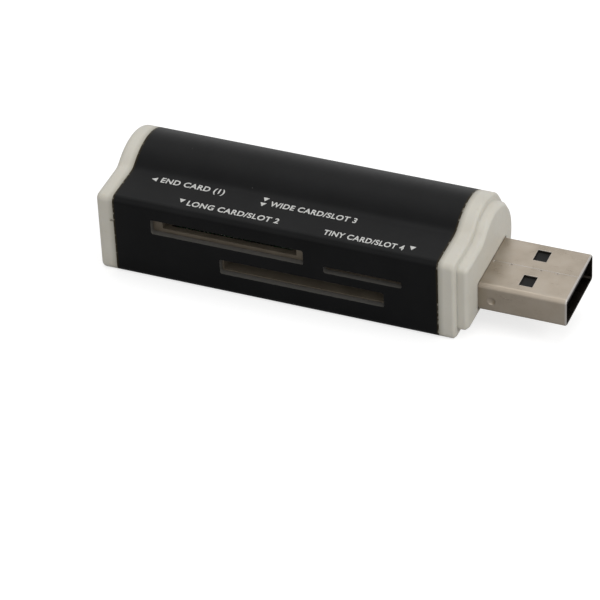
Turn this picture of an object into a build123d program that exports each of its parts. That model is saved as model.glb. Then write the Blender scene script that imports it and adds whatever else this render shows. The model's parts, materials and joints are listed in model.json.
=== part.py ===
from build123d import *
import os
from math import asin, atan2, cos, degrees, hypot, pi, sin, sqrt

# A memory card reader in the form of a short stick: an aluminium sleeve with a cap on one end and a plug
# on the other. Sizes are in millimetres. The reader is drawn straight and laid down at the end: X runs from
# the sleeve's left end towards the plug, Y from the slotted front to the back with 0 on the barrel's axis,
# and Z up with 0 on the underside of the circuit board.

# Section of the body: a flat block in front of a round barrel
barrel_radius = 8.45
block_height = 13.0
front_reach = 13.0  # from the barrel's axis to the front face
cove_radius = 2.35
edge_radius = 1.0
sleeve_wall = 1.0
slide_gap = 0.1  # around what slides into the sleeve

# End cap and plug collar
cap_thickness = 2.6
cap_rounding = 0.8
flange_thickness = 2.35
flange_chamfer = 0.35
step_thickness = 1.55
step_inset = 1.1
step_corner = 0.8
step_chamfer = 0.5
spigot_depth = 3.0
spigot_wall = 0.9
spigot_height = 7.0
notch_length = 0.5  # a small nick in the cap, where it can be prised off
notch_height = 0.35
notch_depth = 0.3
notch_level = 2.45

# The four sizes of card and the room that a card has in its guide
long_card_width = 20.0
long_card_thickness = 1.6
wide_card_width = 24.0
wide_card_thickness = 2.1
micro_card_width = 11.0
micro_card_thickness = 0.7
mini_card_width = 12.5
mini_card_thickness = 1.2
card_play = 0.2  # at each side
card_headroom = 0.1  # above and below

# Slots: how far each opening reaches past its card
long_slot_border = 1.6
long_slot_sill = 0.55
wide_slot_border = 0.4
micro_slot_border = 0.325
mini_slot_border = 0.3
slot_head = 0.1
slot_corner = 0.3

# Where the cards lie: along the sleeve for the upper row, from the left for the lower row, and from the board
left_margin = 5.75
slot_spacing = 3.0
right_margin = 5.4
mini_depth = 10.5  # from the sleeve's left end to where the smallest card stops
row_gap = 2.3
long_card_lift = 1.2  # from the board's top
wide_card_drop = 0.7  # from the board's underside
mini_card_drop = 0.3

# Card guides and circuit board
guide_wall = 1.0
guide_rib = 1.0
rail_width = 1.0
board_thickness = 0.8
board_gap = 0.1
board_end_gap = 0.2

# Contacts of the card sockets, each row held in a block behind its card
contact_thickness = 0.2
contact_gap = 0.05
contact_foot = 0.9
contact_reach = 4.0
contact_tip = 0.9
contact_lift = 0.3  # of the bend above the card's floor
contact_tip_depth = 0.1  # below that floor
contact_sink = 0.55  # of the run below that floor, where the board lies above the card
block_depth = 1.6
block_floor = 0.9  # of the block's foot below the card's floor
long_contact_count = 10
long_contact_pitch = 1.7
long_contact_width = 0.7
wide_contact_count = 9
wide_contact_pitch = 2.5
wide_contact_width = 1.0
micro_contact_count = 8
micro_contact_pitch = 1.1
micro_contact_width = 0.5
mini_contact_count = 11
mini_contact_pitch = 1.0
mini_contact_width = 0.5

# Socket for the micro card: a plastic base under a folded metal cover
micro_base_thickness = 0.25
micro_socket_depth = 12.4
micro_stop_depth = 1.8
micro_cover_sheet = 0.2
micro_tab_reach = 0.7
micro_tab_length = 1.4
micro_tongue_length = 4.0
micro_tongue_width = 1.2
micro_tongue_cut = 0.3

# Plug: a folded steel sheet round an insulator with four contacts
plug_width = 12.0
plug_height = 4.5
plug_reach = 12.9
plug_tail = 3.0  # inside the sleeve
plug_offset = -1.55  # of its middle from the barrel's axis
plug_sheet = 0.3
plug_corner = 0.65
plug_mouth_chamfer = 0.15
plug_seam = 0.04
plug_gap = 0.08  # to the collar
window_length = 2.0
window_width = 2.5
window_spacing = 6.15
window_setback = 5.5  # from the mouth
dimple_radius = 1.2
dimple_depth = 0.18
dimple_place = 1.95  # from the collar
dimple_level = 1.97  # from the plug's underside
tack_radius = 0.2
tack_depth = 0.1
tack_offset = 0.25  # from the seam
tack_start = 0.5  # from the collar
tack_spacing = 2.4
tack_pair_spacing = 6.8
lug_length = 1.2
lug_rise = 0.4  # above the board
lug_gap = 0.15
lug_place = 1.4  # from the shell's inner end
tongue_thickness = 1.84
tongue_setback = 0.6
insulator_gap = 0.05
plug_cavity = 12.4  # from the mouth to the insulator's back wall
plug_contact_thickness = 0.25
plug_contact_width = 1.0
plug_contact_setback = 1.0  # of the two long contacts from the tongue's end
plug_contact_stagger = 1.0
plug_contact_bend = 0.5
outer_contact_spacing = 7.0
inner_contact_spacing = 2.0

# Parts on the board under the long card
part_gap = 0.7  # across the board
part_margin = 1.4  # from the board's front edge
chip_length = 9.7
chip_width = 4.4
chip_height = 0.95
chip_standoff = 0.1
chip_mark_radius = 0.4
chip_mark_depth = 0.1
lead_count = 14  # along each side
lead_pitch = 0.65
lead_width = 0.25
lead_thickness = 0.15
lead_span = 6.4
lead_shoulder = 0.3
lead_slope = 0.25
crystal_length = 3.2
crystal_width = 2.5
crystal_height = 0.75
crystal_lid_inset = 0.25
crystal_base_height = 0.3
chip_part_length = 1.6
chip_part_width = 0.8
chip_part_terminal = 0.35
chip_part_recess = 0.04
capacitor_height = 0.8
capacitor_count = 4
resistor_height = 0.45
resistor_count = 3
chip_part_pitch = 1.4

# Insets from the outside of the sleeve
guide_inset = sleeve_wall + slide_gap
frame_inset = guide_inset + max(guide_wall, spigot_wall)

# Centre of the cove between the block and the barrel
cove_z = block_height / 2 + cove_radius
cove_y = -sqrt((barrel_radius + cove_radius) ** 2 - cove_z ** 2)

# Heights of the cards' floors and ceilings
long_floor = board_thickness + long_card_lift
long_ceiling = long_floor + long_card_thickness + 2 * card_headroom
micro_floor = board_thickness + micro_base_thickness
micro_ceiling = micro_floor + micro_card_thickness + 2 * card_headroom
wide_ceiling = -wide_card_drop
wide_floor = wide_ceiling - wide_card_thickness - 2 * card_headroom
mini_ceiling = -mini_card_drop
mini_floor = mini_ceiling - mini_card_thickness - 2 * card_headroom

# Half widths of the four channels
long_half = long_card_width / 2 + card_play
wide_half = wide_card_width / 2 + card_play
micro_half = micro_card_width / 2 + card_play
mini_half = mini_card_width / 2 + card_play

# Places along the sleeve
long_slot_width = long_card_width + 2 * long_slot_border
micro_slot_width = micro_card_width + 2 * micro_slot_border
long_x = left_margin + long_slot_width / 2
micro_x = left_margin + long_slot_width + slot_spacing + micro_slot_width / 2
mini_back = mini_depth + block_depth
wide_x = mini_back + contact_foot + row_gap + guide_rib + wide_half
plug_foot_room = plug_contact_bend + contact_foot + board_gap
upper_row = micro_x + micro_slot_width / 2 + right_margin
lower_row = wide_x + wide_half + guide_rib + plug_foot_room + plug_tail
sleeve_length = max(upper_row, lower_row)
guide_left = spigot_depth
guide_right = sleeve_length - spigot_depth
collar_end = sleeve_length + flange_thickness + step_thickness
plug_start = sleeve_length - plug_tail
plug_tip = collar_end + plug_reach

# Places across the sleeve
wall_back = guide_inset + guide_wall - front_reach
board_front = frame_inset + board_gap - front_reach
core_radius = barrel_radius - frame_inset
board_back = sqrt(core_radius ** 2 - board_thickness ** 2) - board_gap
contact_back = sqrt(core_radius ** 2 - (wide_floor - block_floor) ** 2) - board_gap
mini_y = (board_front + contact_back) / 2
block_back = contact_back - contact_foot
block_front = block_back - block_depth
contact_front = block_front - contact_reach
micro_front = board_front
micro_back = micro_front + micro_socket_depth
micro_stop = micro_back - micro_stop_depth
micro_cover_half = micro_half + micro_cover_sheet + contact_gap
micro_cover_top = micro_ceiling + micro_cover_sheet
micro_pocket_half = micro_cover_half + micro_tab_reach + board_gap

# Inside of the plug
shell_ceiling = -plug_sheet
tongue_top = shell_ceiling - insulator_gap
tongue_bottom = tongue_top - tongue_thickness
insulator_front = plug_tip - plug_cavity


def brick(x_low, x_high, y_low, y_high, z_low, z_high):
    """A box given by its six faces."""
    middle = Pos((x_low + x_high) / 2, (y_low + y_high) / 2, (z_low + z_high) / 2)
    return middle * Box(x_high - x_low, y_high - y_low, z_high - z_low)


def section(inset):
    """The body's outline across its length, drawn in (Y, Z) and pulled in by inset."""
    front = inset - front_reach
    top = block_height / 2 - inset
    corner = max(edge_radius - inset, 0)
    cove = cove_radius + inset
    cove_end = atan2(-cove_z, -cove_y)
    cove_half = (cove_end - pi / 2) / 2
    ledge_start = (front + corner, top)
    ledge_end = (cove_y, top)
    cove_bend = (cove_y + cove * cos(cove_half), cove_z + cove * sin(cove_half))
    barrel_start = (cove_y + cove * cos(cove_end), cove_z + cove * sin(cove_end))
    upper = Line(ledge_start, ledge_end) + ThreePointArc(ledge_end, cove_bend, barrel_start)
    if corner > 0:
        middle = corner * (1 - cos(pi / 4))
        upper += ThreePointArc((front, top - corner), (front + middle, top - middle), ledge_start)
    face_line = Line((front, corner - top), (front, top - corner))
    barrel = ThreePointArc(barrel_start, (barrel_radius - inset, 0), (barrel_start[0], -barrel_start[1]))
    return make_face(upper + mirror(upper, Plane.XZ) + face_line + barrel)


def prism(inset, x_low, x_high):
    """A length of the body's outline."""
    return extrude(Plane.YZ.offset(x_low) * section(inset), amount=x_high - x_low)


def tube(outer_inset, inner_inset, x_low, x_high):
    """A length of wall that follows the body's outline."""
    return prism(outer_inset, x_low, x_high) - prism(inner_inset, x_low, x_high)


def rounded_opening(width, height):
    """The outline of a slot, its corners limited by its height."""
    return RectangleRounded(width, height, min(slot_corner, height / 3))


def front_cut(x_middle, width, z_low, z_high):
    """A slot through the sleeve's front wall."""
    middle = Pos(x_middle, sleeve_wall / 2 - front_reach, (z_low + z_high) / 2)
    return middle * extrude(Plane.XZ * rounded_opening(width, z_high - z_low), amount=sleeve_wall, both=True)


def plug_block(x_low, x_high, grow):
    """The space of the plug's outside, grown all round."""
    half = plug_width / 2 + grow
    return brick(x_low, x_high, plug_offset - half, plug_offset + half, -plug_height - grow, grow)


def make_sleeve():
    """The extruded sleeve, with its three slots."""
    sleeve = tube(0, sleeve_wall, 0, sleeve_length)
    wide_slot_width = wide_card_width + 2 * wide_slot_border
    sleeve -= front_cut(long_x, long_slot_width, long_floor - long_slot_sill, long_ceiling + slot_head)
    sleeve -= front_cut(micro_x, micro_slot_width, board_thickness, micro_ceiling)
    sleeve -= front_cut(wide_x, wide_slot_width, wide_floor - slot_head, wide_ceiling + slot_head)
    return sleeve


def make_spigot(x_low, x_high):
    """What holds an end piece in the sleeve: a tab along the front wall and one along the barrel's back."""
    half = spigot_height / 2
    wall = tube(guide_inset, guide_inset + spigot_wall, x_low, x_high)
    return wall & brick(x_low, x_high, -front_reach, barrel_radius, -half, half)


def make_end_cap():
    """The cap, with the smallest card's slot in its end and a spigot of two tabs that go into the sleeve."""
    plate = prism(0, -cap_thickness, 0)
    plate = fillet(plate.faces().sort_by(Axis.X)[0].edges(), cap_rounding)
    z_low = mini_floor - slot_head
    z_high = mini_ceiling + slot_head
    opening = rounded_opening(mini_card_width + 2 * mini_slot_border, z_high - z_low)
    plate -= Pos(0, mini_y, (z_low + z_high) / 2) * extrude(Plane.YZ * opening, amount=-cap_thickness)
    z_low = notch_level - notch_height / 2
    plate -= brick(-notch_length, 0, -front_reach, notch_depth - front_reach, z_low, z_low + notch_height)
    return plate + make_spigot(0, spigot_depth)


def make_plug_collar():
    """The stepped collar round the plug, with its own spigot."""
    flange = prism(0, sleeve_length, sleeve_length + flange_thickness)
    flange = chamfer(flange.faces().sort_by(Axis.X)[-1].edges(), min(flange_chamfer, flange_thickness / 3))
    step = prism(step_inset, sleeve_length + flange_thickness, collar_end)
    step = fillet(step.edges().filter_by(Axis.X).sort_by(Axis.Y)[:2], step_corner)
    step = chamfer(step.faces().sort_by(Axis.X)[-1].edges(), min(step_chamfer, step_thickness / 3))
    collar = flange + step + make_spigot(guide_right, sleeve_length)
    return collar - plug_block(guide_right, collar_end, plug_gap)


def guide_space(z_low, z_high):
    """The room for a card guide: the inside of the sleeve between its spigots, over a range of heights."""
    limits = brick(guide_left, guide_right, -front_reach, barrel_radius, z_low, z_high)
    return prism(guide_inset, guide_left, guide_right) & limits


def side_ribs(x_middle, half, z_low, z_high):
    """A rib on each side of a channel, from front to back."""
    left = brick(x_middle - half - guide_rib, x_middle - half, -front_reach, barrel_radius, z_low, z_high)
    right = brick(x_middle + half, x_middle + half + guide_rib, -front_reach, barrel_radius, z_low, z_high)
    return left + right


def side_rails(x_middle, half, y_high, z_low, z_high):
    """A rail along each side of a channel, which keeps the card at its height."""
    left = brick(x_middle - half, x_middle - half + rail_width, -front_reach, y_high, z_low, z_high)
    right = brick(x_middle + half - rail_width, x_middle + half, -front_reach, y_high, z_low, z_high)
    return left + right


def make_upper_card_guide():
    """The moulding above the board: a channel for the long card and a pocket for the micro card's socket."""
    back = barrel_radius
    ceiling = micro_cover_top + card_headroom
    guide = brick(guide_left, guide_right, -front_reach, wall_back, board_thickness, back)
    guide += side_ribs(long_x, long_half, board_thickness, back)
    guide += side_ribs(micro_x, micro_pocket_half, board_thickness, back)
    guide += side_rails(long_x, long_half, block_front - contact_gap, board_thickness, long_floor)
    guide += brick(
        long_x - long_half, long_x + long_half, -front_reach, back, long_ceiling, long_ceiling + guide_rib
    )
    guide += brick(
        micro_x - micro_pocket_half, micro_x + micro_pocket_half, -front_reach, back,
        ceiling, ceiling + guide_rib
    )
    guide &= guide_space(board_thickness, back)
    guide -= brick(long_x - long_half, long_x + long_half, -front_reach, wall_back, long_floor, long_ceiling)
    guide -= brick(
        micro_x - micro_half, micro_x + micro_half, -front_reach, wall_back, board_thickness, micro_ceiling
    )
    return guide


def make_lower_card_guide():
    """The moulding that carries the board, with a channel for the wide card and one for the smallest card."""
    wide_left = wide_x - wide_half
    wide_right = wide_x + wide_half
    bottom = -barrel_radius
    floor_end = contact_front - contact_tip
    mini_floor_end = mini_depth - contact_reach - contact_tip
    guide = brick(guide_left, guide_right, -front_reach, wall_back, bottom, board_thickness)
    guide += side_ribs(wide_x, wide_half, bottom, board_thickness)
    guide += side_rails(wide_x, wide_half, block_front - contact_gap, wide_ceiling, 0)
    guide += brick(wide_left, wide_right, -front_reach, floor_end, wide_floor - guide_rib, wide_floor)
    mini_low = mini_y - mini_half
    mini_high = mini_y + mini_half
    guide += brick(guide_left, wide_left, mini_low - guide_rib, mini_low, bottom, board_thickness)
    guide += brick(guide_left, wide_left, mini_high, mini_high + guide_rib, bottom, board_thickness)
    guide += brick(guide_left, mini_floor_end, mini_low, mini_high, mini_floor - guide_rib, mini_floor)
    guide &= guide_space(bottom, board_thickness)
    guide -= brick(
        guide_left, guide_right, board_front - board_gap, board_back + board_gap, 0, board_thickness
    )
    guide -= brick(wide_left, wide_right, -front_reach, wall_back, wide_floor, wide_ceiling)
    return guide - plug_block(plug_start - plug_gap, plug_tip, plug_gap)


def lug_sides():
    """The two faces that the plug's lugs lie in, as the side's sign and its outer face."""
    return [(side, plug_offset + side * plug_width / 2) for side in (-1, 1)]


def make_circuit_board():
    """The board, with a slot for each of the plug's lugs."""
    board = brick(board_end_gap, sleeve_length - board_end_gap, board_front, board_back, 0, board_thickness)
    lug_low = plug_start + lug_place - lug_gap
    lug_high = plug_start + lug_place + lug_length + lug_gap
    for side, face in lug_sides():
        y_low, y_high = sorted((face + side * lug_gap, face - side * (plug_sheet + lug_gap)))
        board -= brick(lug_low, lug_high, y_low, y_high, 0, board_thickness)
    return board


def plug_section(shrink):
    """The plug's outline, pulled in all round."""
    corner = max(plug_corner - shrink, plug_corner / 3)
    outline = RectangleRounded(plug_width - 2 * shrink, plug_height - 2 * shrink, corner)
    return Plane.YZ * (Pos(plug_offset, -plug_height / 2) * outline)


def make_plug_shell():
    """The plug's folded sheet: a butt seam on top, latch windows above and below, a dimple in each side."""
    length = plug_tip - plug_start
    shell = Pos(plug_start, 0, 0) * extrude(plug_section(0), amount=length)
    shell = chamfer(shell.faces().sort_by(Axis.X)[-1].edges(), min(plug_mouth_chamfer, plug_sheet / 2))
    for side, face in lug_sides():
        y_low, y_high = sorted((face, face - side * plug_sheet))
        lug_start = plug_start + lug_place
        lug_top = board_thickness + lug_rise
        shell += brick(lug_start, lug_start + lug_length, y_low, y_high, -plug_height / 2, lug_top)
    shell -= Pos(plug_start, 0, 0) * extrude(plug_section(plug_sheet), amount=length)
    window_end = plug_tip - window_setback
    for place in GridLocations(0, window_spacing, 1, 2):
        window = brick(
            window_end - window_length, window_end, -window_width / 2, window_width / 2, -plug_height, 0
        )
        shell -= Pos(0, plug_offset, 0) * place * window
    seam = plug_seam / 2
    shell -= brick(plug_start, plug_tip, plug_offset - seam, plug_offset + seam, -plug_sheet, 0)
    dimple = Sphere(dimple_radius)
    for side, face in lug_sides():
        dimple_y = face + side * (dimple_radius - dimple_depth)
        shell -= Pos(collar_end + dimple_place, dimple_y, dimple_level - plug_height) * dimple
    tack_middle = collar_end + tack_start + (tack_spacing + tack_pair_spacing) / 2
    for pair in GridLocations(tack_pair_spacing, 0, 2, 1):
        for place in GridLocations(tack_spacing, 0, 2, 1):
            middle = Pos(tack_middle, plug_offset - tack_offset, -tack_depth / 2)
            shell -= pair * place * middle * Cylinder(tack_radius, tack_depth)
    return shell


def plug_contact_places():
    """Each contact's place across the plug and its end nearest the mouth: the outer pair reach further."""
    long_end = plug_tip - tongue_setback - plug_contact_setback
    short_end = long_end - plug_contact_stagger
    outer = [(side * outer_contact_spacing / 2, long_end) for side in (-1, 1)]
    inner = [(side * inner_contact_spacing / 2, short_end) for side in (-1, 1)]
    return outer + inner


def make_plug_tongue():
    """The plug's insulator: a block that fills the shell's inner end, with the tongue for the contacts."""
    tongue_end = plug_tip - tongue_setback
    filling = extrude(plug_section(plug_sheet + insulator_gap), amount=tongue_end - plug_start)
    half = plug_width / 2
    insulator = Pos(plug_start, 0, 0) * filling
    insulator -= brick(
        insulator_front, tongue_end, plug_offset - half, plug_offset + half, -plug_height, tongue_bottom
    )
    groove_bottom = tongue_bottom - plug_contact_thickness - contact_gap
    for place, _ in plug_contact_places():
        y_middle = plug_offset + place
        half = plug_contact_width / 2 + contact_gap
        groove = brick(
            plug_start, insulator_front, y_middle - half, y_middle + half, groove_bottom, tongue_bottom
        )
        insulator -= groove
    return insulator


def strip(plane, points, thickness, width):
    """A flat strip bent along a line of points in a plane, its width centred on that plane."""
    return extrude(plane * trace(Polyline(*points), line_width=thickness), amount=width / 2, both=True)


def make_plug_contacts():
    """Four strips along the tongue's underside, bent up to the board behind the insulator."""
    level = tongue_bottom - plug_contact_thickness / 2
    foot_level = -plug_contact_thickness / 2
    bend = plug_start - plug_contact_bend
    contacts = []
    for place, end in plug_contact_places():
        points = [(end, level), (bend, level), (bend, foot_level), (bend - contact_foot, foot_level)]
        contact = strip(Plane.XZ, points, plug_contact_thickness, plug_contact_width)
        contacts.append(Pos(0, plug_offset + place, 0) * contact)
    return Compound(contacts)


def standing_contact(plane, back, front, tip, floor, width):
    """A contact that runs along the board under its block, then springs up through the card's floor."""
    level = board_thickness + contact_thickness / 2
    points = [
        (back, level), (front, level),
        (tip + contact_tip, floor + contact_lift), (tip, floor - contact_tip_depth),
    ]
    return strip(plane, points, contact_thickness, width)


def hanging_contact(plane, back, heel, front, tip, floor, width):
    """A contact that hangs from the board, passes below its block and springs up through the card's floor."""
    foot = -contact_thickness / 2
    run = floor - contact_sink
    points = [
        (back, foot), (heel, foot), (heel, run), (front, run),
        (tip + contact_tip, floor + contact_lift), (tip, floor - contact_tip_depth),
    ]
    return strip(plane, points, contact_thickness, width)


def make_long_card_block():
    """The block that stops the long card, with a passage for each contact."""
    half = long_half - contact_gap
    block = brick(
        long_x - half, long_x + half, block_front, block_back, board_thickness, long_ceiling - card_headroom
    )
    half = long_contact_width / 2 + contact_gap
    top = board_thickness + contact_thickness + contact_gap
    for place in GridLocations(long_contact_pitch, 0, long_contact_count, 1):
        passage = brick(-half, half, block_front, block_back, board_thickness, top)
        block -= Pos(long_x, 0, 0) * place * passage
    return block


def make_long_card_contacts():
    """The long card's row of contacts."""
    contact = standing_contact(
        Plane.YZ, contact_back - contact_gap, block_front - contact_gap, contact_front,
        long_floor, long_contact_width
    )
    places = GridLocations(long_contact_pitch, 0, long_contact_count, 1)
    return Compound([Pos(long_x, 0, 0) * place * contact for place in places])


def make_wide_card_block():
    """The block that stops the wide card, hung from the board, with a passage for each contact."""
    half = wide_half - contact_gap
    bottom = wide_floor - block_floor
    block = brick(wide_x - half, wide_x + half, block_front, block_back, bottom, 0)
    half = wide_contact_width / 2 + contact_gap
    top = wide_floor - contact_sink + contact_thickness / 2 + contact_gap
    for place in GridLocations(wide_contact_pitch, 0, wide_contact_count, 1):
        passage = brick(-half, half, block_front, block_back, bottom, top)
        block -= Pos(wide_x, 0, 0) * place * passage
    return block


def make_wide_card_contacts():
    """The wide card's row of contacts."""
    heel = block_back + contact_gap + contact_thickness / 2
    front = block_front - contact_gap
    contact = hanging_contact(
        Plane.YZ, contact_back - contact_gap, heel, front, contact_front, wide_floor, wide_contact_width
    )
    places = GridLocations(wide_contact_pitch, 0, wide_contact_count, 1)
    return Compound([Pos(wide_x, 0, 0) * place * contact for place in places])


def make_mini_card_block():
    """The block that stops the smallest card, hung from the board across the reader."""
    half = mini_half - contact_gap
    bottom = mini_floor - block_floor
    block = brick(mini_depth, mini_back, mini_y - half, mini_y + half, bottom, 0)
    half = mini_contact_width / 2 + contact_gap
    top = mini_floor - contact_sink + contact_thickness / 2 + contact_gap
    for place in GridLocations(0, mini_contact_pitch, 1, mini_contact_count):
        passage = brick(mini_depth, mini_back, -half, half, bottom, top)
        block -= Pos(0, mini_y, 0) * place * passage
    return block


def make_mini_card_contacts():
    """The smallest card's row of contacts."""
    heel = mini_back + contact_gap + contact_thickness / 2
    contact = hanging_contact(
        Plane.XZ, mini_back + contact_foot, heel, mini_depth - contact_gap, mini_depth - contact_reach,
        mini_floor, mini_contact_width
    )
    places = GridLocations(0, mini_contact_pitch, 1, mini_contact_count)
    return Compound([Pos(0, mini_y, 0) * place * contact for place in places])


def make_micro_card_base():
    """The micro socket's base, with a stop for the card and a slot for each contact."""
    base = brick(
        micro_x - micro_half, micro_x + micro_half, micro_front, micro_back, board_thickness, micro_floor
    )
    base += brick(
        micro_x - micro_half, micro_x + micro_half, micro_stop, micro_back,
        board_thickness, micro_ceiling - contact_gap
    )
    half = micro_contact_width / 2 + contact_gap
    slot_front = micro_stop - contact_reach - contact_tip
    top = board_thickness + contact_thickness + contact_gap
    for place in GridLocations(micro_contact_pitch, 0, micro_contact_count, 1):
        slot = brick(-half, half, slot_front, micro_stop, board_thickness, micro_floor)
        passage = brick(-half, half, micro_stop, micro_back, board_thickness, top)
        base -= Pos(micro_x, 0, 0) * place * (slot + passage)
    return base


def make_micro_card_cover():
    """The micro socket's folded cover, with solder tabs along its sides and two spring tongues in its top."""
    half = micro_cover_half
    inner = half - micro_cover_sheet
    cover = brick(micro_x - half, micro_x + half, micro_front, micro_back, board_thickness, micro_cover_top)
    cover -= brick(micro_x - inner, micro_x + inner, micro_front, micro_back, board_thickness, micro_ceiling)
    tab_half = half + micro_tab_reach
    tab_top = board_thickness + micro_cover_sheet
    for y_low in (micro_front + micro_tab_length, micro_back - 2 * micro_tab_length):
        tab_back = y_low + micro_tab_length
        tabs = brick(micro_x - tab_half, micro_x + tab_half, y_low, tab_back, board_thickness, tab_top)
        cover += tabs - brick(micro_x - half, micro_x + half, y_low, tab_back, board_thickness, tab_top)
    tongue_front = micro_front + micro_tab_length
    tongue_back = tongue_front + micro_tongue_length
    tongue_half = micro_tongue_width / 2
    cut_half = tongue_half + micro_tongue_cut
    for place in GridLocations(micro_half, 0, 2, 1):
        cut = brick(-cut_half, cut_half, tongue_front, tongue_back, micro_ceiling, micro_cover_top)
        cut -= brick(
            -tongue_half, tongue_half, tongue_front + micro_tongue_cut, tongue_back,
            micro_ceiling, micro_cover_top
        )
        cover -= Pos(micro_x, 0, 0) * place * cut
    return cover


def make_micro_card_contacts():
    """The micro card's row of contacts."""
    contact = standing_contact(
        Plane.YZ, micro_back + contact_foot, micro_stop - contact_gap, micro_stop - contact_reach,
        micro_floor, micro_contact_width
    )
    places = GridLocations(micro_contact_pitch, 0, micro_contact_count, 1)
    return Compound([Pos(micro_x, 0, 0) * place * contact for place in places])


# Places of the parts on the board, spread evenly between the long channel's rails
part_spacing = (2 * (long_half - rail_width) - chip_length - crystal_length - chip_part_length) / 4
chip_x = long_x - long_half + rail_width + part_spacing + chip_length / 2
crystal_x = chip_x + chip_length / 2 + part_spacing + crystal_length / 2
capacitor_x = crystal_x + crystal_length / 2 + part_spacing + chip_part_length / 2
parts_y = board_front + part_margin + lead_span / 2
chip_bottom = board_thickness + chip_standoff


def make_controller_chip():
    """The controller's moulded body, with a round mark at its first lead."""
    half = chip_width / 2
    body = brick(
        chip_x - chip_length / 2, chip_x + chip_length / 2, parts_y - half, parts_y + half,
        chip_bottom, chip_bottom + chip_height
    )
    mark_x = chip_x - chip_length / 2 + 2 * chip_mark_radius
    mark_y = parts_y - half + 2 * chip_mark_radius
    mark_z = chip_bottom + chip_height - chip_mark_depth / 2
    return body - Pos(mark_x, mark_y, mark_z) * Cylinder(chip_mark_radius, chip_mark_depth)


def make_controller_leads():
    """The controller's leads, bent down from its sides to the board."""
    side = chip_width / 2
    level = chip_bottom + chip_height / 2
    foot = board_thickness + lead_thickness / 2
    shoulder = side + lead_shoulder
    points = [(side, level), (shoulder, level), (shoulder + lead_slope, foot), (lead_span / 2, foot)]
    lead = strip(Plane.YZ, points, lead_thickness, lead_width)
    places = GridLocations(lead_pitch, 0, lead_count, 1)
    pair = [lead, mirror(lead, Plane.XZ)]
    return Compound([Pos(chip_x, parts_y, 0) * place * one for place in places for one in pair])


def make_timing_crystal():
    """A low crystal can: a base with a smaller lid."""
    y_middle = parts_y - lead_span / 2 + crystal_width / 2
    base = Box(crystal_length, crystal_width, crystal_base_height)
    lid_size = (crystal_length - 2 * crystal_lid_inset, crystal_width - 2 * crystal_lid_inset)
    lid = Box(*lid_size, crystal_height - crystal_base_height)
    can = Pos(0, 0, crystal_base_height / 2) * base
    can += Pos(0, 0, (crystal_height + crystal_base_height) / 2) * lid
    return Pos(crystal_x, y_middle, board_thickness) * can


def chip_part(height):
    """A small ceramic part with a raised terminal at each end, standing on the board."""
    part = Box(chip_part_length, chip_part_width, height)
    middle_length = chip_part_length - 2 * chip_part_terminal
    sleeve = Box(middle_length, chip_part_width, height)
    core = Box(middle_length, chip_part_width - 2 * chip_part_recess, height - 2 * chip_part_recess)
    return Pos(0, 0, board_thickness + height / 2) * (part - (sleeve - core))


def make_capacitors():
    """A column of capacitors beside the crystal."""
    places = GridLocations(0, chip_part_pitch, 1, capacitor_count)
    return Compound([Pos(capacitor_x, parts_y, 0) * place * chip_part(capacitor_height) for place in places])


def make_resistors():
    """A column of resistors behind the crystal."""
    first = parts_y - lead_span / 2 + crystal_width + part_gap + chip_part_width / 2
    places = [first + index * chip_part_pitch for index in range(resistor_count)]
    return Compound([Pos(crystal_x, place, 0) * chip_part(resistor_height) for place in places])


# How the reader lies on a table: tilted until its barrel and its lower front edge both touch, with the origin
# on the table under the middle of its box
lean_reach = front_reach - edge_radius
lean_drop = block_height / 2 - edge_radius
lean = asin((barrel_radius - edge_radius) / hypot(lean_reach, lean_drop)) - atan2(lean_drop, lean_reach)
front_extent = lean_reach * cos(lean) + lean_drop * sin(lean) + edge_radius
middle_x = (plug_tip - cap_thickness) / 2
middle_y = (barrel_radius - front_extent) / 2
at_rest = Pos(-middle_x, -middle_y, barrel_radius) * Rot(degrees(lean), 0, 0)

pieces = {
    "sleeve": make_sleeve(),
    "end_cap": make_end_cap(),
    "plug_collar": make_plug_collar(),
    "upper_card_guide": make_upper_card_guide(),
    "lower_card_guide": make_lower_card_guide(),
    "circuit_board": make_circuit_board(),
    "plug_shell": make_plug_shell(),
    "plug_tongue": make_plug_tongue(),
    "plug_contacts": make_plug_contacts(),
    "long_card_block": make_long_card_block(),
    "long_card_contacts": make_long_card_contacts(),
    "wide_card_block": make_wide_card_block(),
    "wide_card_contacts": make_wide_card_contacts(),
    "micro_card_base": make_micro_card_base(),
    "micro_card_cover": make_micro_card_cover(),
    "micro_card_contacts": make_micro_card_contacts(),
    "mini_card_block": make_mini_card_block(),
    "mini_card_contacts": make_mini_card_contacts(),
    "controller_chip": make_controller_chip(),
    "controller_leads": make_controller_leads(),
    "timing_crystal": make_timing_crystal(),
    "capacitors": make_capacitors(),
    "resistors": make_resistors(),
}

os.makedirs("parts", exist_ok=True)
for name, piece in pieces.items():
    export_step(at_rest * piece, f"parts/{name}.step")
print(f"sleeve {sleeve_length:.2f} mm, overall {plug_tip + cap_thickness:.2f} mm")
print(f"lean {degrees(lean):.2f} degrees")
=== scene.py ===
import json
from math import cos, radians, sin

import bmesh
import bpy
from mathutils import Matrix, Quaternion, Vector


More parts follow.
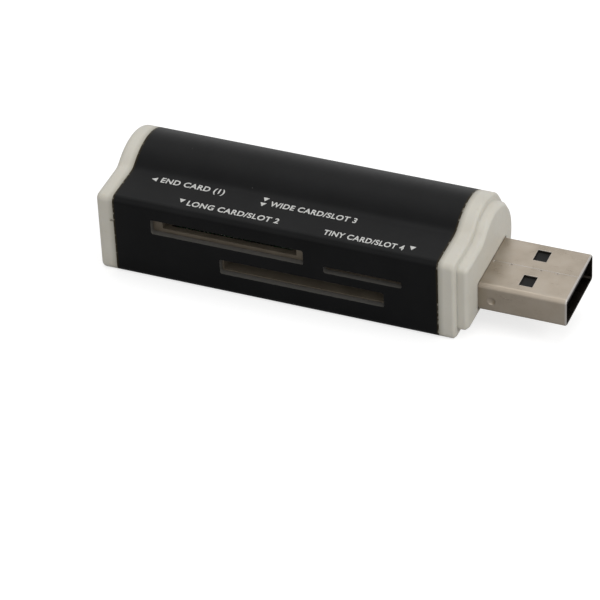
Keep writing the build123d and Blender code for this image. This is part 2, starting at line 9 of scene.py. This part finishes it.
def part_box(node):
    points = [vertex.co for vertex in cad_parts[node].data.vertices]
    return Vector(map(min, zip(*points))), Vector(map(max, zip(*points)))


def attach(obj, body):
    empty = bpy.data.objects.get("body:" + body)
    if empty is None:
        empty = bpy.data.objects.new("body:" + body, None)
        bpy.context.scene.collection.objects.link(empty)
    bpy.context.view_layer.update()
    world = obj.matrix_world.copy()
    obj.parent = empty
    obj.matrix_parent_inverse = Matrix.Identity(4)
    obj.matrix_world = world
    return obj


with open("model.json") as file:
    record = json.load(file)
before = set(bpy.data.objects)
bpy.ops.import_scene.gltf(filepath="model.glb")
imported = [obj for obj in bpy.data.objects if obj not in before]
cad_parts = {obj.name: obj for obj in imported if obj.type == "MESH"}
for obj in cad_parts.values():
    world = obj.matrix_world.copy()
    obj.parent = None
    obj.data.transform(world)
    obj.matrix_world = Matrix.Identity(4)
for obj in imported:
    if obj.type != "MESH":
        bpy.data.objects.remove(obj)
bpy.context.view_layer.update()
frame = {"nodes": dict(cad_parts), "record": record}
nodes = frame["nodes"]
mounts = {mount["name"]: mount for mount in frame["record"]["mounts"]}
millimetre = 0.001

# The reader lies tilted on its barrel and its lower front edge: its own directions come from the long slot
long_slot = mounts["long_card_slot"]
along = Vector((1, 0, 0))
outward = Vector(long_slot["axis"]).normalized()
upward = outward.cross(along)

# Places in metres, which the finishes and the print are laid out from
sleeve_low, sleeve_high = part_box("sleeve")
sleeve_middle = (sleeve_low + sleeve_high) / 2
front_level = Vector(long_slot["pos_m"])
front_level.x = sleeve_low.x
slot_rows = (front_level + Vector(mounts["wide_card_slot"]["pos_m"])) / 2
plug_mouth = Vector(mounts["plug"]["pos_m"])

# Sizes in millimetres
sleeve_half = (sleeve_high.x - sleeve_low.x) / 2 / millimetre
sleeve_wall = 1.0
slot_rows_half = 4.2
ledge_rise = 3.6  # from the middle of the long slot to the ledge above it
plug_half_height = 2.25
plug_half_width = 6.0
plug_sheet = 0.3
terminal_length = 0.35

# The print, in millimetres, with the weight and the gap of its letters in the font's own units
ink_thickness = 0.02
letter_height = 1.15
letter_weight = 0.022
letter_gap = 1.08
arrow_length = 0.85
arrow_half_width = 0.46


def start_finish(name):
    """A new material, with its node tree, its shader and the piece's own coordinates."""
    material = bpy.data.materials.new(name)
    material.use_nodes = True
    tree = material.node_tree
    shader = tree.nodes["Principled BSDF"]
    place = tree.nodes.new("ShaderNodeTexCoord").outputs["Object"]
    return material, tree, shader, place


def grain(tree, place, size, detail=3, stretch=(1, 1, 1)):
    """Noise with grains of a size in millimetres, drawn out along each axis by stretch."""
    mapping = tree.nodes.new("ShaderNodeMapping")
    mapping.inputs["Scale"].default_value = [1 / (size * millimetre * factor) for factor in stretch]
    noise = tree.nodes.new("ShaderNodeTexNoise")
    noise.inputs["Scale"].default_value = 1
    noise.inputs["Detail"].default_value = detail
    tree.links.new(place, mapping.inputs["Vector"])
    tree.links.new(mapping.outputs["Vector"], noise.inputs["Vector"])
    return noise.outputs["Fac"]


def specks(tree, place, spacing, radius, share):
    """A mask of scattered round specks: spacing and radius in millimetres, and the share that is kept."""
    cells = tree.nodes.new("ShaderNodeTexVoronoi")
    cells.inputs["Scale"].default_value = 1 / (spacing * millimetre)
    tree.links.new(place, cells.inputs["Vector"])
    near = spread(tree, cells.outputs["Distance"], radius / spacing, radius / spacing / 2, 0, 1)
    parts = tree.nodes.new("ShaderNodeSeparateColor")
    tree.links.new(cells.outputs["Color"], parts.inputs["Color"])
    kept = spread(tree, parts.outputs["Red"], 1 - share, 1 - share + 0.01, 0, 1)
    return product(tree, near, kept)


def spread(tree, amount, from_low, from_high, to_low, to_high):
    """An amount carried from one range to another and held there."""
    node = tree.nodes.new("ShaderNodeMapRange")
    node.inputs["From Min"].default_value = from_low
    node.inputs["From Max"].default_value = from_high
    node.inputs["To Min"].default_value = to_low
    node.inputs["To Max"].default_value = to_high
    tree.links.new(amount, node.inputs["Value"])
    return node.outputs["Result"]


def combine(tree, operation, first, second):
    """Two amounts put together by an operation of the maths node."""
    node = tree.nodes.new("ShaderNodeMath")
    node.operation = operation
    tree.links.new(first, node.inputs[0])
    tree.links.new(second, node.inputs[1])
    return node.outputs["Value"]


def product(tree, first, second):
    """Two amounts multiplied."""
    return combine(tree, "MULTIPLY", first, second)


def total(tree, first, second):
    """Two amounts added."""
    return combine(tree, "ADD", first, second)


def tint(tree, amount, *stops):
    """A colour that goes through stops, each a place from 0 to 1 with its colour."""
    ramp = tree.nodes.new("ShaderNodeValToRGB")
    band = ramp.color_ramp
    while len(band.elements) < len(stops):
        band.elements.new(0.5)
    for element, (position, colour) in zip(band.elements, stops):
        element.position = position
        element.color = (*colour, 1)
    tree.links.new(amount, ramp.inputs["Fac"])
    return ramp.outputs["Color"]


def overlay(tree, mask, under, over):
    """A colour laid over another one where the mask is 1."""
    mix = tree.nodes.new("ShaderNodeMix")
    mix.data_type = "RGBA"
    # The node has sockets of the same name for each kind of data, so its colours are found by their type
    lower, upper = [socket for socket in mix.inputs if socket.type == "RGBA"]
    tree.links.new(mask, mix.inputs["Factor"])
    tree.links.new(under, lower)
    upper.default_value = (*over, 1)
    return next(socket for socket in mix.outputs if socket.type == "RGBA")


def soft_edges(tree, radius):
    """The normals of a piece whose edges are rounded by a radius in millimetres."""
    rounded = tree.nodes.new("ShaderNodeBevel")
    rounded.samples = 6
    rounded.inputs["Radius"].default_value = radius * millimetre
    return rounded.outputs["Normal"]


def edge_mask(tree, width):
    """A mask that is 1 on the sharp edges of a piece, over a width in millimetres."""
    flat = tree.nodes.new("ShaderNodeNewGeometry")
    turn = tree.nodes.new("ShaderNodeVectorMath")
    turn.operation = "DOT_PRODUCT"
    tree.links.new(soft_edges(tree, width), turn.inputs[0])
    tree.links.new(flat.outputs["Normal"], turn.inputs[1])
    # Cosines of the angle between the rounded normal and the flat one
    slight_turn = 0.995
    clear_turn = 0.9
    return spread(tree, turn.outputs["Value"], slight_turn, clear_turn, 0, 1)


def relief(tree, shader, height, depth, strength, softening=0.05):
    """Bump of a depth in millimetres, on edges that are softened by a radius in millimetres."""
    bump = tree.nodes.new("ShaderNodeBump")
    bump.inputs["Strength"].default_value = strength
    bump.inputs["Distance"].default_value = depth * millimetre
    tree.links.new(height, bump.inputs["Height"])
    tree.links.new(soft_edges(tree, softening), bump.inputs["Normal"])
    tree.links.new(bump.outputs["Normal"], shader.inputs["Normal"])


def distance_from(tree, place, middle, axis):
    """How far a place lies, in metres, from the plane through a point across an axis."""
    offset = tree.nodes.new("ShaderNodeVectorMath")
    offset.operation = "SUBTRACT"
    offset.inputs[1].default_value = middle
    tree.links.new(place, offset.inputs[0])
    height = tree.nodes.new("ShaderNodeVectorMath")
    height.operation = "DOT_PRODUCT"
    height.inputs[1].default_value = axis
    tree.links.new(offset.outputs["Vector"], height.inputs[0])
    size = tree.nodes.new("ShaderNodeMath")
    size.operation = "ABSOLUTE"
    tree.links.new(height.outputs["Value"], size.inputs[0])
    return size.outputs["Value"]


def within(tree, distance, limit, fade, strength=1):
    """A mask with a strength up to a limit, past which it fades out, both in millimetres."""
    return spread(tree, distance, limit * millimetre, (limit + fade) * millimetre, strength, 0)


def beyond(tree, distance, limit, fade, strength=1):
    """A mask that fades in past a limit, both in millimetres, and then keeps its strength."""
    return spread(tree, distance, limit * millimetre, (limit + fade) * millimetre, 0, strength)


def set_sockets(shader, **values):
    """Constant values on the shader's sockets, named with underscores for spaces."""
    for name, value in values.items():
        shader.inputs[name.replace("_", " ")].default_value = value


def anodised_black():
    """Blasted aluminium dyed black: dust, worn edges, nicked ends, and bare metal in the slots."""
    material, tree, shader, place = start_finish("anodised_black")
    cloud = grain(tree, place, 5)
    lines = grain(tree, place, 0.12, 2, (80, 1, 1))
    blast = grain(tree, place, 0.06, 1)
    dye = tint(tree, cloud, (0.3, (0.0022, 0.0023, 0.0025)), (0.7, (0.0042, 0.0043, 0.0046)))
    wear = spread(tree, grain(tree, place, 0.4), 0.5, 0.65, 0, 0.5)
    worn = product(tree, edge_mask(tree, 0.12), wear)
    dye = overlay(tree, worn, dye, (0.10, 0.095, 0.085))
    dye = overlay(tree, specks(tree, place, 2.2, 0.09, 0.12), dye, (0.11, 0.11, 0.105))
    from_middle = distance_from(tree, place, sleeve_middle, along)
    browned = beyond(tree, from_middle, sleeve_half - 0.35, 0.25, 0.7)
    dye = overlay(tree, browned, dye, (0.030, 0.021, 0.006))
    nicks = spread(tree, grain(tree, place, 0.7, 2), 0.56, 0.62, 0, 0.8)
    nicked = product(tree, beyond(tree, from_middle, sleeve_half - 0.2, 0.1), nicks)
    dye = overlay(tree, nicked, dye, (0.30, 0.28, 0.23))
    depth = distance_from(tree, place, front_level, outward)
    height = distance_from(tree, place, slot_rows, upward)
    in_wall = product(
        tree, beyond(tree, depth, 0.06, 0.04), within(tree, depth, sleeve_wall + 0.05, 0.05)
    )
    bare = product(tree, in_wall, within(tree, height, slot_rows_half, 0.1))
    dye = overlay(tree, bare, dye, (0.13, 0.125, 0.115))
    tree.links.new(dye, shader.inputs["Base Color"])
    gloss = spread(tree, grain(tree, place, 1.2, 4), 0.3, 0.7, 0.39, 0.43)
    tree.links.new(gloss, shader.inputs["Roughness"])
    set_sockets(shader, Specular_IOR_Level=0.1)
    relief(tree, shader, total(tree, blast, lines), 0.012, 0.25)
    return material


def ivory_plastic():
    """Moulded ivory plastic: uneven yellowing, a few dirt specks, and painted shade where it meets the
    sleeve.
    """
    material, tree, shader, place = start_finish("ivory_plastic")
    cloud = grain(tree, place, 6)
    mottle = grain(tree, place, 0.7, 4)
    base = tint(tree, cloud, (0.3, (0.600, 0.572, 0.500)), (0.7, (0.635, 0.612, 0.545)))
    base = overlay(tree, spread(tree, mottle, 0.62, 0.75, 0, 0.25), base, (0.53, 0.49, 0.40))
    base = overlay(tree, specks(tree, place, 1.6, 0.045, 0.10), base, (0.22, 0.18, 0.12))
    # Painted shade: the ivory darkens next to the sleeve's ends and fades out over 0.8 mm
    painted_joint_shade = within(tree, distance_from(tree, place, sleeve_middle, along), sleeve_half, 0.8, 0.45)
    base = overlay(tree, painted_joint_shade, base, (0.20, 0.185, 0.135))
    tree.links.new(base, shader.inputs["Base Color"])
    tree.links.new(spread(tree, mottle, 0.3, 0.7, 0.40, 0.52), shader.inputs["Roughness"])
    set_sockets(
        shader, Specular_IOR_Level=0.35, Subsurface_Weight=0.12, Subsurface_Radius=(1.0, 0.75, 0.45),
        Subsurface_Scale=0.5 * millimetre
    )
    relief(tree, shader, grain(tree, place, 0.09, 2), 0.01, 0.22, 0.6)
    return material


def cream_plastic():
    """The duller cream plastic of the card guides."""
    material, tree, shader, place = start_finish("cream_plastic")
    cloud = grain(tree, place, 3)
    base = tint(tree, cloud, (0.3, (0.115, 0.095, 0.070)), (0.7, (0.150, 0.126, 0.095)))
    tree.links.new(base, shader.inputs["Base Color"])
    tree.links.new(spread(tree, cloud, 0.3, 0.7, 0.45, 0.6), shader.inputs["Roughness"])
    set_sockets(shader, Specular_IOR_Level=0.3)
    relief(tree, shader, grain(tree, place, 0.12, 2), 0.01, 0.25)
    return material


def plug_nickel():
    """Nickel-plated steel: rolling lines, stains, scratches and pits, polished edges that are partly a
    painted highlight, a painted highlight on the mouth's rim, and painted shade inside.
    """
    material, tree, shader, place = start_finish("plug_nickel")
    stain = grain(tree, place, 3.5, 4)
    lines = grain(tree, place, 0.10, 3, (40, 1, 1))
    scratches = grain(tree, place, 0.05, 2, (3, 60, 3))
    dark = (0.310, 0.268, 0.217)
    middling = (0.353, 0.306, 0.251)
    light = (0.378, 0.336, 0.285)
    base = tint(tree, stain, (0.28, dark), (0.5, middling), (0.75, light))
    base = overlay(tree, specks(tree, place, 0.9, 0.05, 0.12), base, (0.20, 0.17, 0.13))
    # Lighter polished edges: partly wear, partly a painted highlight
    base = overlay(tree, spread(tree, edge_mask(tree, 0.1), 0, 1, 0, 0.7), base, (0.60, 0.58, 0.56))
    depth = distance_from(tree, place, plug_mouth, along)
    rise = distance_from(tree, place, plug_mouth, upward)
    side = distance_from(tree, place, plug_mouth, outward)
    # A painted highlight along the mouth's rim, partly polish from plugging
    base = overlay(tree, within(tree, depth, 0.16, 0.06, 0.4), base, (0.56, 0.56, 0.57))
    # Painted shade on the shell's inner faces
    inside = product(
        tree, within(tree, rise, plug_half_height - plug_sheet + 0.02, 0.03),
        within(tree, side, plug_half_width - plug_sheet + 0.02, 0.03)
    )
    base = overlay(tree, inside, base, (0.075, 0.065, 0.055))
    tree.links.new(base, shader.inputs["Base Color"])
    scuffed = product(
        tree, beyond(tree, rise, plug_half_height - 0.65, 0.3),
        beyond(tree, side, plug_half_width - 0.7, 0.3, 0.24)
    )
    polish = spread(tree, total(tree, stain, lines), 0.7, 1.3, 0.26, 0.40)
    tree.links.new(total(tree, polish, scuffed), shader.inputs["Roughness"])
    set_sockets(shader, Metallic=1.0)
    relief(tree, shader, total(tree, lines, scratches), 0.006, 0.3, 0.06)
    return material


def bright_metal(name, dark, light, low_gloss, high_gloss):
    """Thin sheet or plated metal inside the reader, with faint rolling lines."""
    material, tree, shader, place = start_finish(name)
    cloud = grain(tree, place, 1.2)
    tree.links.new(tint(tree, cloud, (0.3, dark), (0.7, light)), shader.inputs["Base Color"])
    tree.links.new(spread(tree, cloud, 0.3, 0.7, low_gloss, high_gloss), shader.inputs["Roughness"])
    set_sockets(shader, Metallic=1.0)
    relief(tree, shader, grain(tree, place, 0.05, 2, (12, 1, 1)), 0.004, 0.2, 0.03)
    return material


def dark_plastic(name, dark, light, gloss=0.4):
    """Dark moulded plastic or epoxy with a fine matt texture."""
    material, tree, shader, place = start_finish(name)
    cloud = grain(tree, place, 1.5, 4)
    tree.links.new(tint(tree, cloud, (0.3, dark), (0.7, light)), shader.inputs["Base Color"])
    tree.links.new(spread(tree, cloud, 0.3, 0.7, 0.42, 0.58), shader.inputs["Roughness"])
    set_sockets(shader, Specular_IOR_Level=gloss)
    relief(tree, shader, grain(tree, place, 0.06, 2), 0.006, 0.25)
    return material


def board_laminate():
    """Green solder resist over a weave, with lighter lines where copper runs below it."""
    material, tree, shader, place = start_finish("board_laminate")
    weave = grain(tree, place, 0.25, 1, (3, 1, 1))
    tracks = tree.nodes.new("ShaderNodeTexBrick")
    tracks.inputs["Scale"].default_value = 1 / (1.3 * millimetre)
    tracks.inputs["Mortar Size"].default_value = 0.03
    tree.links.new(place, tracks.inputs["Vector"])
    resist = tint(tree, weave, (0.3, (0.010, 0.085, 0.030)), (0.7, (0.016, 0.115, 0.042)))
    resist = overlay(tree, tracks.outputs["Fac"], resist, (0.030, 0.17, 0.060))
    tree.links.new(resist, shader.inputs["Base Color"])
    tree.links.new(spread(tree, weave, 0.3, 0.7, 0.28, 0.4), shader.inputs["Roughness"])
    relief(tree, shader, weave, 0.01, 0.2)
    return material


def end_terminals(name, dark, light, node):
    """The ceramic of a node's small board parts, tinned at both ends."""
    material, tree, shader, place = start_finish(name)
    low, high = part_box(node)
    bare_half = (high.x - low.x) / 2 / millimetre - terminal_length
    from_middle = distance_from(tree, place, (low + high) / 2, along)
    tinned = beyond(tree, from_middle, bare_half, bare_half / 100)
    body = tint(tree, grain(tree, place, 0.3), (0.3, dark), (0.7, light))
    tree.links.new(overlay(tree, tinned, body, (0.62, 0.61, 0.58)), shader.inputs["Base Color"])
    tree.links.new(tinned, shader.inputs["Metallic"])
    tree.links.new(spread(tree, grain(tree, place, 0.2), 0.3, 0.7, 0.3, 0.5), shader.inputs["Roughness"])
    return material


def print_ink():
    """Pale screen ink, a little uneven and worn through in places."""
    material, tree, shader, place = start_finish("print_ink")
    wear = grain(tree, place, 0.12, 3)
    worn = (0.28, 0.28, 0.27)
    thin = (0.60, 0.60, 0.58)
    full = (0.70, 0.70, 0.68)
    tree.links.new(tint(tree, wear, (0.28, worn), (0.45, thin), (0.75, full)), shader.inputs["Base Color"])
    tree.links.new(spread(tree, wear, 0.3, 0.7, 0.5, 0.7), shader.inputs["Roughness"])
    set_sockets(shader, Specular_IOR_Level=0.2)
    return material


def lay_on_ledge(mesh, x, y):
    """Turn a flat mesh, drawn in millimetres with its face up, onto the ledge.

    Its place is in millimetres too: from the sleeve's left end, and back from the front face.
    """
    corner = front_level + (along * x - outward * y + upward * ledge_rise) * millimetre
    turn = Matrix((along, -outward, upward)).transposed().to_4x4()
    mesh.transform(Matrix.Translation(corner) @ turn @ Matrix.Scale(millimetre, 4))


def letter_mesh(words):
    """Letters as a mesh that is 1 thick, in the font's own units."""
    curve = bpy.data.curves.new("print_words", "FONT")
    curve.body = words
    curve.offset = letter_weight
    curve.space_character = letter_gap
    curve.extrude = 0.5
    letters = bpy.data.objects.new("print_words", curve)
    mesh = bpy.data.meshes.new_from_object(letters)
    bpy.data.objects.remove(letters)
    return mesh


def reach(mesh, axis):
    """A mesh's lowest and highest place along an axis."""
    places = [vertex.co[axis] for vertex in mesh.vertices]
    return min(places), max(places)


def print_words(words, x_low, x_high, y):
    """A line of letters on the ledge, between two places along the sleeve, with its foot at y."""
    capital = letter_mesh("H")
    foot, top = reach(capital, 1)
    bpy.data.meshes.remove(capital)
    mesh = letter_mesh(words)
    left, right = reach(mesh, 0)
    mesh.transform(Matrix.Translation((-left, -foot, 0)))
    widening = (x_high - x_low) / (right - left)
    heightening = letter_height / (top - foot)
    mesh.transform(Matrix.Diagonal((widening, heightening, ink_thickness, 1)))
    lay_on_ledge(mesh, x_low, y)
    return mesh


def print_arrow(x, y, turn=0):
    """A small solid arrow with its tip at a place on the ledge, pointing to the front before its turn."""
    bm = bmesh.new()
    tip = bm.verts.new((0, 0, 0))
    right = bm.verts.new((arrow_half_width, arrow_length, 0))
    left = bm.verts.new((-arrow_half_width, arrow_length, 0))
    face = bm.faces.new((tip, right, left))
    extruded = bmesh.ops.extrude_face_region(bm, geom=[face])
    raised = [item for item in extruded["geom"] if isinstance(item, bmesh.types.BMVert)]
    bmesh.ops.translate(bm, verts=raised, vec=(0, 0, ink_thickness / 2))
    bmesh.ops.rotate(bm, verts=bm.verts, cent=(0, 0, 0), matrix=Matrix.Rotation(radians(turn), 3, "Z"))
    bmesh.ops.recalc_face_normals(bm, faces=bm.faces)
    mesh = bpy.data.meshes.new("print_arrow")
    bm.to_mesh(mesh)
    bm.free()
    lay_on_ledge(mesh, x, y)
    return mesh


def join_print(name, meshes, material):
    """One piece of print from several meshes, riding on the reader."""
    bm = bmesh.new()
    for mesh in meshes:
        bm.from_mesh(mesh)
        bpy.data.meshes.remove(mesh)
    joined = bpy.data.meshes.new(name)
    bm.to_mesh(joined)
    bm.free()
    joined.materials.append(material)
    piece = bpy.data.objects.new(name, joined)
    bpy.context.scene.collection.objects.link(piece)
    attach(piece, "root")


def seen_light(tree, other, direct, gloss):
    """Strengths of light by the kind of ray: seen straight or through glass, in gloss, and any other."""
    path = tree.nodes.new("ShaderNodeLightPath")
    straight = total(tree, path.outputs["Is Camera Ray"], path.outputs["Is Transmission Ray"])
    shown = spread(tree, straight, 0, 1, other, direct)
    return total(tree, shown, spread(tree, path.outputs["Is Glossy Ray"], 0, 1, 0, gloss - other))


def make_floor():
    """A wide pale floor: white where it is seen, with the reader's shadow on it."""
    bm = bmesh.new()
    bmesh.ops.create_grid(bm, x_segments=1, y_segments=1, size=3)
    mesh = bpy.data.meshes.new("floor")
    bm.to_mesh(mesh)
    bm.free()
    floor = bpy.data.objects.new("floor", mesh)
    bpy.context.scene.collection.objects.link(floor)
    material = bpy.data.materials.new("pale_floor")
    material.use_nodes = True
    tree = material.node_tree
    shader = tree.nodes["Principled BSDF"]
    set_sockets(
        shader, Base_Color=(0.5, 0.5, 0.5, 1), Roughness=1.0, Specular_IOR_Level=0.0,
        Emission_Color=(1, 1, 1, 1)
    )
    glow = seen_light(tree, other=0, direct=0.7, gloss=0.15)
    tree.links.new(glow, shader.inputs["Emission Strength"])
    mesh.materials.append(material)


def light_world():
    """A white surround with a plain level of light."""
    world = bpy.data.worlds.new("studio")
    bpy.context.scene.world = world
    world.use_nodes = True
    tree = world.node_tree
    background = tree.nodes["Background"]
    background.inputs["Color"].default_value = (1, 1, 1, 1)
    strength = seen_light(tree, other=0.45, direct=1, gloss=1)
    tree.links.new(strength, background.inputs["Strength"])


def add_lamp(name, place, size, power):
    """A square soft lamp that faces the reader: its place and size in metres, its power in watts."""
    lamp = bpy.data.lights.new(name, "AREA")
    lamp.size = size
    lamp.energy = power
    holder = bpy.data.objects.new(name, lamp)
    holder.location = place
    holder.rotation_euler = Vector(place).to_track_quat("Z", "Y").to_euler()
    bpy.context.scene.collection.objects.link(holder)


def add_camera():
    """The photograph's view: turned, raised and rolled about a point beside the reader."""
    aim = Vector((-6.923, 0, -3.875)) * millimetre
    distance = 536.39 * millimetre
    azimuth = radians(20.80)
    elevation = radians(28.21)
    roll = radians(1.593)
    away = Vector((sin(azimuth) * cos(elevation), -cos(azimuth) * cos(elevation), sin(elevation)))
    lens = bpy.data.cameras.new("camera")
    lens.lens = 223.5
    lens.sensor_width = 36
    lens.clip_start = 0.01
    camera = bpy.data.objects.new("camera", lens)
    camera.location = aim + away * distance
    turn = away.to_track_quat("Z", "Y") @ Quaternion((0, 0, 1), roll)
    camera.rotation_euler = turn.to_euler()
    bpy.context.scene.collection.objects.link(camera)
    bpy.context.scene.camera = camera


# Print on the ledge: an arrow and words for each slot
ink = print_ink()
join_print("first_slot_print", [
    print_arrow(3.6, 6.1, -90),
    print_words("END CARD (1)", 5.05, 14.8, 5.65),
], ink)
join_print("second_slot_print", [
    print_arrow(9.8, 2.05),
    print_words("LONG CARD/SLOT 2", 10.75, 24.65, 1.65),
], ink)
join_print("third_slot_print", [
    print_arrow(20.95, 6.07),
    print_arrow(20.95, 4.83),
    print_words("WIDE CARD/SLOT 3", 21.95, 34.95, 5.2),
], ink)
join_print("fourth_slot_print", [
    print_words("TINY CARD/SLOT 4", 31.5, 43.4, 1.35),
    print_arrow(44.5, 1.8),
], ink)

# Finishes of the solids
gilt = bright_metal("contact_gilt", (0.68, 0.47, 0.17), (0.76, 0.55, 0.22), 0.22, 0.34)
tin = bright_metal("tinned_lead", (0.52, 0.51, 0.49), (0.62, 0.61, 0.58), 0.3, 0.42)
sheet = bright_metal("socket_steel", (0.50, 0.49, 0.47), (0.60, 0.59, 0.57), 0.24, 0.36)
black = dark_plastic("black_plastic", (0.010, 0.010, 0.010), (0.020, 0.020, 0.021))
tongue_black = dark_plastic("tongue_plastic", (0.006, 0.006, 0.006), (0.011, 0.011, 0.011), 0.12)
epoxy = dark_plastic("chip_epoxy", (0.012, 0.012, 0.013), (0.022, 0.022, 0.024))
tan = end_terminals("capacitor_ceramic", (0.30, 0.21, 0.12), (0.36, 0.26, 0.16), "capacitors")
dark = end_terminals("resistor_ceramic", (0.012, 0.012, 0.013), (0.02, 0.02, 0.022), "resistors")
ivory = ivory_plastic()
cream = cream_plastic()
finishes = {
    "sleeve": anodised_black(),
    "end_cap": ivory,
    "plug_collar": ivory,
    "upper_card_guide": cream,
    "lower_card_guide": cream,
    "circuit_board": board_laminate(),
    "plug_shell": plug_nickel(),
    "plug_tongue": tongue_black,
    "plug_contacts": gilt,
    "long_card_block": black,
    "long_card_contacts": gilt,
    "wide_card_block": black,
    "wide_card_contacts": gilt,
    "micro_card_base": black,
    "micro_card_cover": sheet,
    "micro_card_contacts": gilt,
    "mini_card_block": black,
    "mini_card_contacts": gilt,
    "controller_chip": epoxy,
    "controller_leads": tin,
    "timing_crystal": sheet,
    "capacitors": tan,
    "resistors": dark,
}
for name, finish in finishes.items():
    nodes[name].material_slots[0].material = finish

# The stage, lit for the photograph's view
make_floor()
light_world()
add_lamp("overhead_lamp", (-0.05, 0.15, 0.8), 0.65, 1.65)
add_lamp("right_lamp", (0.7, -0.1, 0.45), 0.4, 2.0)
add_lamp("front_lamp", (0.1, -0.8, 0.35), 1.2, 2.5)
add_camera()
bpy.context.scene.view_settings.view_transform = "Standard"
